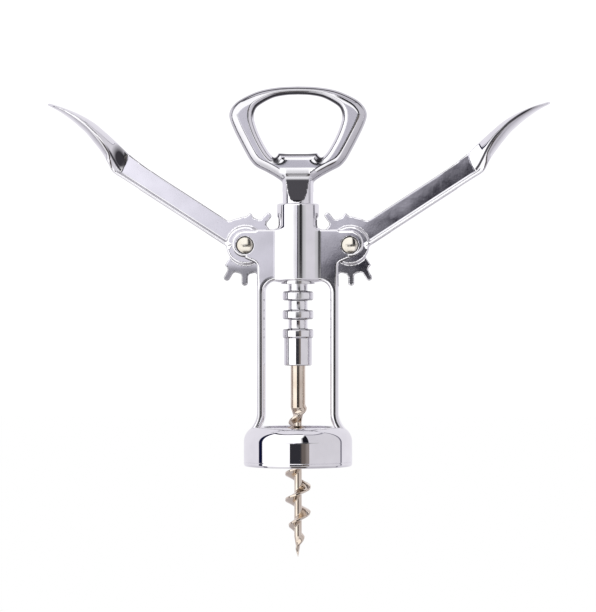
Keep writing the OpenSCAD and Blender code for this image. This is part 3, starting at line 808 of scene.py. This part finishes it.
def studio():
    """Light by direction: across is the angle from the viewer's side towards +X and lift the angle above the
    level. The flat fronts mirror what lies twice the viewer's own turn to the left."""
    world = bpy.data.worlds.new("studio")
    bpy.context.scene.world = world
    tree = empty_tree(world)

    def add(a, b, clamp=False):
        """a + b"""
        return calc(tree, "ADD", a, b, clamp)

    def less(a, b, clamp=False):
        """a - b"""
        return calc(tree, "SUBTRACT", a, b, clamp)

    def times(a, b):
        """a times b"""
        return calc(tree, "MULTIPLY", a, b)

    def rise(value, at, soft):
        """0 below at and 1 above it, over a soft step."""
        return add(calc(tree, "DIVIDE", less(value, at), soft), 0.5, True)

    def band(value, low, high, soft):
        """1 between low and high."""
        return times(rise(value, low, soft), less(1.0, rise(value, high, soft)))

    def area(x_range, y_range, x_soft, y_soft, up):
        """1 inside a range across and a range of lifts."""
        return times(band(across, *x_range, x_soft), band(up, *y_range, y_soft))

    way = tree.nodes.new("ShaderNodeTexCoord")
    split = tree.nodes.new("ShaderNodeSeparateXYZ")
    tree.links.new(way.outputs["Generated"], split.inputs[0])
    x, y, z = split.outputs
    across = less(times(calc(tree, "ARCTAN2", x, times(y, -1.0)), math.degrees(1)), VIEW_TURN)
    lift = times(calc(tree, "ARCSINE", z), math.degrees(1))

    # the room and two panels with dark borders, whose upper edge is a little higher in the middle
    middle = less(1.0, calc(tree, "DIVIDE", calc(tree, "ABSOLUTE", across), 55.0), True)
    low_lift = less(lift, times(middle, 8.0))
    not_high = less(1.0, rise(low_lift, PANEL_TOP, 3))
    light = lay(tree, ROOM, PANEL_LIGHT, times(band(across, *LEFT_PANEL, 5), not_high))
    light = lay(tree, light, DARK_BORDER, area((LEFT_BORDER, 19), (56.5, 62), 3, 2, low_lift))
    light = lay(tree, light, BLUE_BORDER, area((LEFT_BORDER, LEFT_PANEL[0] - 1), (-70, 62), 1.5, 2, lift))
    light = lay(tree, light, RIGHT_LIGHT, times(band(across, *RIGHT_PANEL, 4), not_high))
    light = lay(tree, light, GREY_BORDER, area((RIGHT_PANEL[1], RIGHT_PANEL[1] + 5), (-70, 60), 1.5, 3, lift))
    light = lay(tree, light, GREY_BORDER, area((19, RIGHT_PANEL[1]), (56, 60), 3, 2, low_lift))
    # dimmer low down, where the table is
    light = lay(tree, light, TABLE, times(less(1.0, rise(lift, -28, 30)), 0.5))

    # the gap between the panels, seen by what faces the viewer
    low, high = GAP_TONES[0][0], GAP_TONES[-1][0]
    ramp = tree.nodes.new("ShaderNodeValToRGB")
    while len(ramp.color_ramp.elements) < len(GAP_TONES):
        ramp.color_ramp.elements.new(0.5)
    for element, (angle, tone) in zip(ramp.color_ramp.elements, GAP_TONES):
        element.position = (angle - low) / (high - low)
        element.color = paint(tone, tone, tone + 2)
    tree.links.new(calc(tree, "DIVIDE", less(across, low), high - low), ramp.inputs[0])
    light = lay(tree, light, ramp.outputs[0], area((low + 1, high - 1), (0, 6), 2, 1.2, lift))
    # above it a dark strip, whose left edge leans to the right and back again
    edge = add(times(rise(lift, 10, 14), 16.0), times(rise(lift, 42, 34), 18.0))
    edge = calc(tree, "MAXIMUM", less(edge, 14.0), 8.0)
    strip = times(rise(across, edge, 6), less(1.0, rise(across, 23, 1.5)))
    light = lay(tree, light, STRIP, times(strip, band(lift, 6, PANEL_TOP, 2)))

    # what the flat fronts mirror: light on the left, darker low on the right, as a display grey that is a
    # little violet
    flat = add(across, 2 * VIEW_TURN)
    right = rise(flat, 0.0, 0.5)
    left_level = add(203.0, times(calc(tree, "MAXIMUM", times(flat, -1.0), 0.0), 14.0))
    clear = rise(lift, add(times(flat, 0.82), 0.35), 0.5)
    top_level = add(168.0, times(band(lift, 1.4, 60, 1.6), 40.0))
    right_level = add(30.0, times(clear, less(top_level, 30.0)))
    level = add(times(left_level, less(1.0, right)), times(right_level, right))
    level = calc(tree, "MINIMUM", level, 262.0)
    fronts = tree.nodes.new("ShaderNodeCombineXYZ")
    for socket, tint in zip(fronts.inputs, (-1.6, -3.2, 6.4)):
        linear = calc(tree, "POWER", calc(tree, "DIVIDE", add(level, tint), 255.0), 2.2)
        tree.links.new(calc(tree, "MAXIMUM", linear, 0.0), socket)
    where = times(band(flat, -5, 4.6, 1.0), band(lift, 0.1, 5.5, 0.5))
    light = lay(tree, light, fronts.outputs[0], where)

    # the dark block seen in the bell's front, and the dark below
    block = lay(tree, BLOCK[0], BLOCK[1], rise(across, 7, 4))
    block = lay(tree, block, BLOCK[2], rise(across, 17, 5))
    light = lay(tree, light, block, area((-17.5, 24), (-6, 0), 1, 0.6, lift))
    light = lay(tree, light, FLOOR_SHADE, area((-20, 24), (-70, -28), 6, 6, lift))

    # the viewer sees plain white behind the object
    seen = tree.nodes.new("ShaderNodeLightPath").outputs["Is Camera Ray"]
    background = tree.nodes.new("ShaderNodeBackground")
    tree.links.new(lay(tree, light, paint(255, 255, 255), seen), background.inputs["Color"])
    background.inputs["Strength"].default_value = 1.1
    out = tree.nodes.new("ShaderNodeOutputWorld")
    tree.links.new(background.outputs[0], out.inputs["Surface"])


def white_floor(half, height):
    """A white floor, in metres, that only the viewer sees: to reflections it is clear."""
    mesh = bpy.data.meshes.new("floor")
    corners = [(-half, -half, height), (half, -half, height), (half, half, height), (-half, half, height)]
    mesh.from_pydata(corners, [], [(0, 1, 2, 3)])
    floor = bpy.data.objects.new("floor", mesh)
    bpy.context.scene.collection.objects.link(floor)
    mat = bpy.data.materials.new("floor_paint")
    tree = empty_tree(mat)
    glow = tree.nodes.new("ShaderNodeEmission")
    glow.inputs["Color"].default_value = (1.0, 1.0, 1.0, 1.0)
    clear = tree.nodes.new("ShaderNodeBsdfTransparent")
    seen = tree.nodes.new("ShaderNodeLightPath")
    choice = tree.nodes.new("ShaderNodeMixShader")
    out = tree.nodes.new("ShaderNodeOutputMaterial")
    tree.links.new(seen.outputs["Is Camera Ray"], choice.inputs[0])
    tree.links.new(clear.outputs[0], choice.inputs[1])
    tree.links.new(glow.outputs[0], choice.inputs[2])
    tree.links.new(choice.outputs[0], out.inputs["Surface"])
    mesh.materials.append(mat)


def place_camera(distance, height):
    """The camera, in metres from the worm's axis, level and turned a little to the right-hand side."""
    data = bpy.data.cameras.new("camera")
    data.lens = 176.5
    data.sensor_width = 36.0
    data.clip_end = 20.0
    camera = bpy.data.objects.new("camera", data)
    turn = math.radians(VIEW_TURN)
    camera.location = (distance * math.sin(turn), -distance * math.cos(turn), height)
    camera.rotation_euler = (math.radians(90), 0, turn)
    bpy.context.scene.collection.objects.link(camera)
    bpy.context.scene.camera = camera


studio()
white_floor(3.0, -0.1)
place_camera(1.0, 0.0463)
bpy.context.scene.view_settings.view_transform = "Standard"
bpy.context.scene.view_settings.look = "None"
